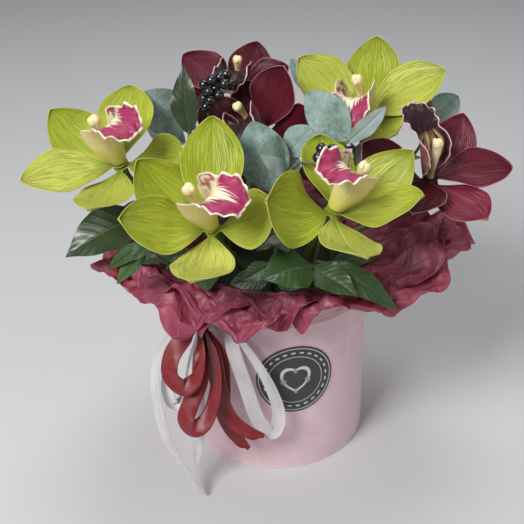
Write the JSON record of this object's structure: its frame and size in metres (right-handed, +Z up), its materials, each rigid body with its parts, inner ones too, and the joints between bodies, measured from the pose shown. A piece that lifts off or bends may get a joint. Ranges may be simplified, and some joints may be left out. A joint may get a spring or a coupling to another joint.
{
  "type": "hat-box orchid arrangement",
  "caption": "Cut cymbidium orchid heads, foliage and berries in a round pink hat box, with a tissue ruff, tied ribbons and a round label.",
  "frame": {"origin": "centre of the underside of the box, where it stands", "axes": "+Z up along the box's axis; -Y is the front, where the label and the ribbons are; +X is to the right seen from the front"},
  "size_m": [0.2914, 0.2249, 0.2524],
  "materials": {
    "box_card": "pale pink satin paper over card",
    "label_card": "charcoal matt paper with a plain printed border",
    "band_satin": "pink satin ribbon",
    "red_satin": "red satin ribbon",
    "white_organza": "sheer white organza and satin",
    "wine_tissue": "crumpled waxed tissue",
    "liner_film": "thin waterproof plastic",
    "wet_foam": "soaked floral foam",
    "green_tepal": "fleshy satin petal, yellow-green",
    "green_lip": "cream and yellow with wine-red blotches",
    "column_cream": "waxy cream",
    "burgundy_tepal": "fleshy satin petal, burgundy with a pale margin",
    "burgundy_lip": "velvety maroon with a pink-white margin",
    "flower_stem": "smooth green stalk",
    "eucalyptus_leaf": "matt grey-green bloom",
    "dark_leaf": "glossy dark green",
    "small_leaf": "glossy fresh green",
    "black_berry": "glossy black"
  },
  "bodies": {
    "root": {"berries_back": "black_berry", "berries_front": "black_berry", "burgundy_back_column": "column_cream", "burgundy_back_lip": "burgundy_lip", "burgundy_back_petals": "burgundy_tepal", "burgundy_back_sepals": "burgundy_tepal", "burgundy_back_stem": "flower_stem", "burgundy_centre_column": "column_cream", "burgundy_centre_lip": "burgundy_lip", "burgundy_centre_petals": "burgundy_tepal", "burgundy_centre_sepals": "burgundy_tepal", "burgundy_centre_stem": "flower_stem", "burgundy_right_column": "column_cream", "burgundy_right_lip": "burgundy_lip", "burgundy_right_petals": "burgundy_tepal", "burgundy_right_sepals": "burgundy_tepal", "burgundy_right_stem": "flower_stem", "dark_leaf_upright": "dark_leaf", "dark_leaves_back": "dark_leaf", "dark_leaves_front": "dark_leaf", "dark_leaves_left": "dark_leaf", "dark_leaves_right": "dark_leaf", "eucalyptus_back": "eucalyptus_leaf", "eucalyptus_centre": "eucalyptus_leaf", "eucalyptus_far": "eucalyptus_leaf", "eucalyptus_left": "eucalyptus_leaf", "eucalyptus_right": "eucalyptus_leaf", "floral_foam": "wet_foam", "green_front_left_column": "column_cream", "green_front_left_lip": "green_lip", "green_front_left_petals": "green_tepal", "green_front_left_sepals": "green_tepal", "green_front_left_stem": "flower_stem", "green_front_right_column": "column_cream", "green_front_right_lip": "green_lip", "green_front_right_petals": "green_tepal", "green_front_right_sepals": "green_tepal", "green_front_right_stem": "flower_stem", "green_left_column": "column_cream", "green_left_lip": "green_lip", "green_left_petals": "green_tepal", "green_left_sepals": "green_tepal", "green_left_stem": "flower_stem", "green_top_right_column": "column_cream", "green_top_right_lip": "green_lip", "green_top_right_petals": "green_tepal", "green_top_right_sepals": "green_tepal", "green_top_right_stem": "flower_stem", "hat_box_base": "box_card", "hat_box_wall": "box_card", "red_ribbon": "red_satin", "ribbon_band": "band_satin", "round_label": "label_card", "small_leaves_front": "small_leaf", "small_leaves_left": "small_leaf", "tissue_wrap": "wine_tissue", "waterproof_liner": "liner_film", "white_ribbon": "white_organza"}
  },
  "joints": []
}
